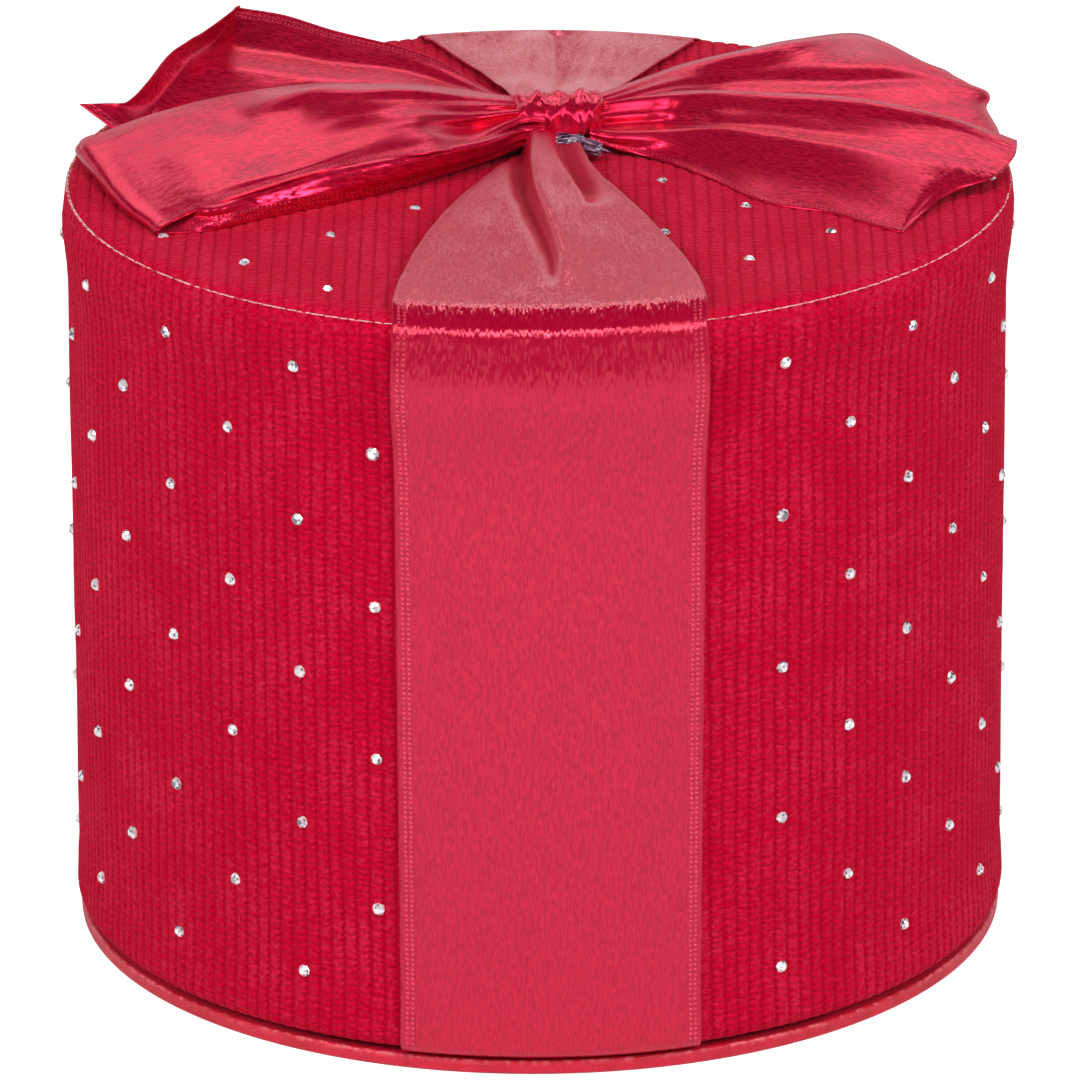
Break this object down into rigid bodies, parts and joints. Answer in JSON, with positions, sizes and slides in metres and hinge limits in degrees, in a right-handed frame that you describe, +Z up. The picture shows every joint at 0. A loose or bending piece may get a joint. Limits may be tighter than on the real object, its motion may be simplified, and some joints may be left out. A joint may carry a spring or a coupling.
{
  "type": "round gift box",
  "caption": "Round gift box with a full-height lid covered in red corduroy, faceted stones, a wide satin ribbon and a bow, over an inner tub.",
  "frame": {"origin": "centre of the underside, on the surface the box stands on", "axes": "+Z up through the lid; -Y is the front, which the picture shows, with the ribbon up its middle; +X to the viewer's right"},
  "size_m": [0.1585, 0.1585, 0.139],
  "materials": {
    "greyboard": "matte",
    "red_paper": "fine leather grain, satin",
    "lining_paper": "matte",
    "corduroy": "ribbed pile",
    "satin": "satin weave, glossy",
    "set_glue": "glossy",
    "rhinestone": "faceted, foil backed"
  },
  "bodies": {
    "base": {"base_board": "greyboard", "base_wrap": "red_paper", "base_underside_sheet": "red_paper", "tub_wall": "greyboard", "tub_floor": "greyboard", "tub_wrap": "red_paper", "tub_lining": "lining_paper", "floor_lining": "lining_paper"},
    "lid": {"lid_wall": "greyboard", "lid_top_board": "greyboard", "lid_wall_lining": "lining_paper", "lid_top_lining": "lining_paper", "top_fabric": "corduroy", "side_fabric": "corduroy", "wrap_ribbon": "satin", "bow_left_loop": "satin", "bow_right_loop": "satin", "bow_left_tail": "satin", "bow_right_tail": "satin", "bow_knot": "satin", "glue_bead": "set_glue"}
  },
  "joints": [
    {"name": "lid_lift", "type": "slide", "parent": "base", "child": "lid", "axis": [0, 0, 1], "range_m": [0, 0.145]}
  ]
}
